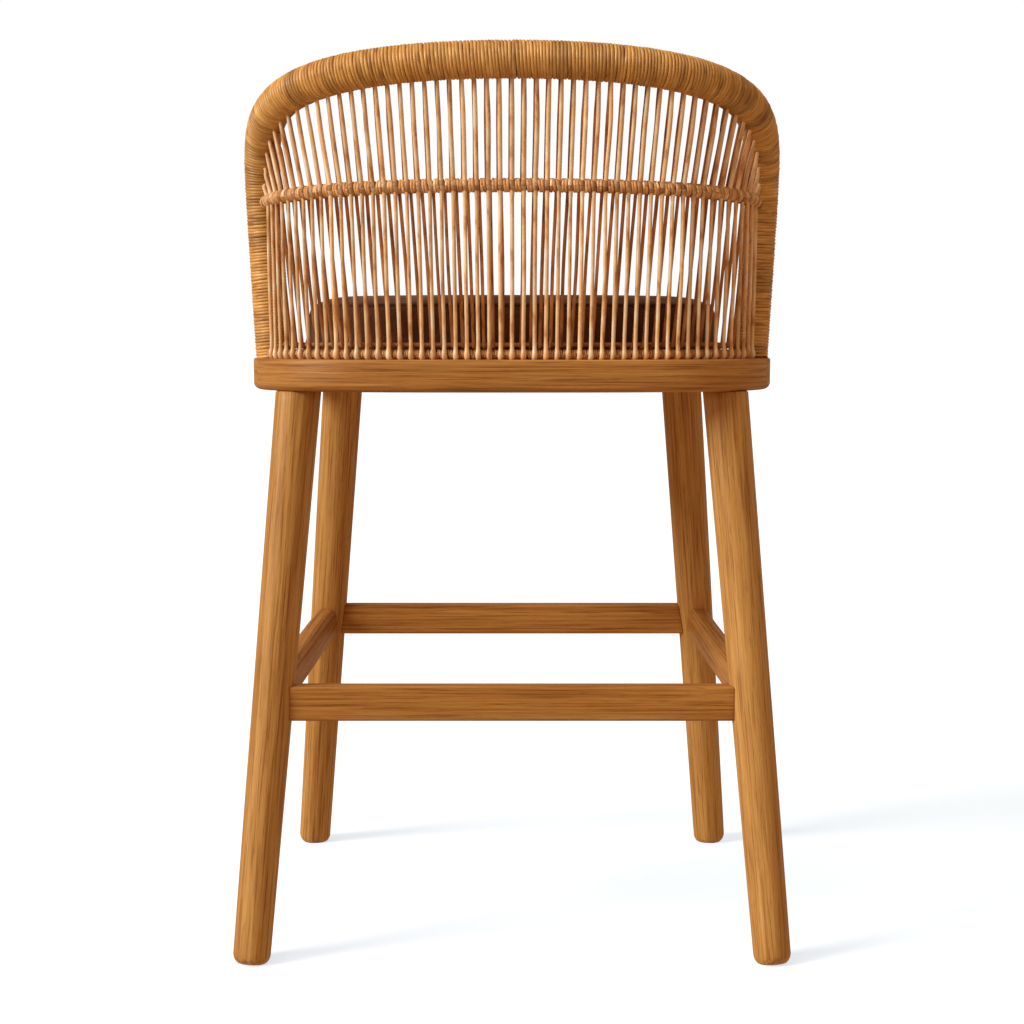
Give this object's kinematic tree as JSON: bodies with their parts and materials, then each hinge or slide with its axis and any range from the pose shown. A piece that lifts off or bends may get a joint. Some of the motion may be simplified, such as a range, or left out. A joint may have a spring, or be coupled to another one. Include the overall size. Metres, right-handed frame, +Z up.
{
  "type": "counter-height bar stool",
  "caption": "Counter-height wooden bar stool with splayed round legs, a footrest, a seat cushion and a barrel back woven from rattan strands on a wound hoop.",
  "frame": {"origin": "middle of the stool's footprint, on the floor", "axes": "+Z up; the front of the seat faces -Y and the woven back stands at +Y; the sitter's left is +X"},
  "size_m": [0.5684, 0.507, 0.9247],
  "materials": {
    "oak_legs": "honey oak, satin oil, grain along the leg",
    "oak_stretchers": "honey oak, satin oil, grain along the bar",
    "oak_frame": "honey oak, satin oil, grain round the seat",
    "birch": "plain sanded birch",
    "plywood": "plain sanded plywood",
    "seat_fabric": "dark brown woven upholstery over foam",
    "rattan_winding": "natural rattan, satin",
    "rattan_strands": "natural rattan, satin",
    "rattan_cane": "natural rattan cane",
    "steel": "zinc-plated screw steel"
  },
  "bodies": {
    "root": {"leg_rear_left": "oak_legs", "leg_rear_right": "oak_legs", "leg_front_left": "oak_legs", "leg_front_right": "oak_legs", "stretcher_rear": "oak_stretchers", "footrest_front": "oak_stretchers", "stretcher_left": "oak_stretchers", "stretcher_right": "oak_stretchers", "seat_rail_rear": "oak_frame", "seat_rail_front": "oak_frame", "seat_rail_left": "oak_frame", "seat_rail_right": "oak_frame", "corner_block_rear_left": "birch", "corner_block_rear_right": "birch", "corner_block_front_left": "birch", "corner_block_front_right": "birch", "rail_dowels": "birch", "block_screws": "steel", "seat_panel": "plywood", "panel_screws": "steel", "seat_cushion": "seat_fabric", "hoop_core": "rattan_cane", "hoop_winding_left": "rattan_winding", "hoop_winding_top": "rattan_winding", "hoop_winding_right": "rattan_winding", "hoop_screws": "steel", "middle_rail_cane": "rattan_cane", "middle_rail_winding": "rattan_winding", "bottom_rail_cane": "rattan_cane", "bottom_rail_winding": "rattan_winding", "inner_rod": "rattan_cane", "outer_strands_left": "rattan_strands", "outer_strands_rear": "rattan_strands", "outer_strands_right": "rattan_strands", "inner_strands_left": "rattan_strands", "inner_strands_rear": "rattan_strands", "inner_strands_right": "rattan_strands"}
  },
  "joints": []
}
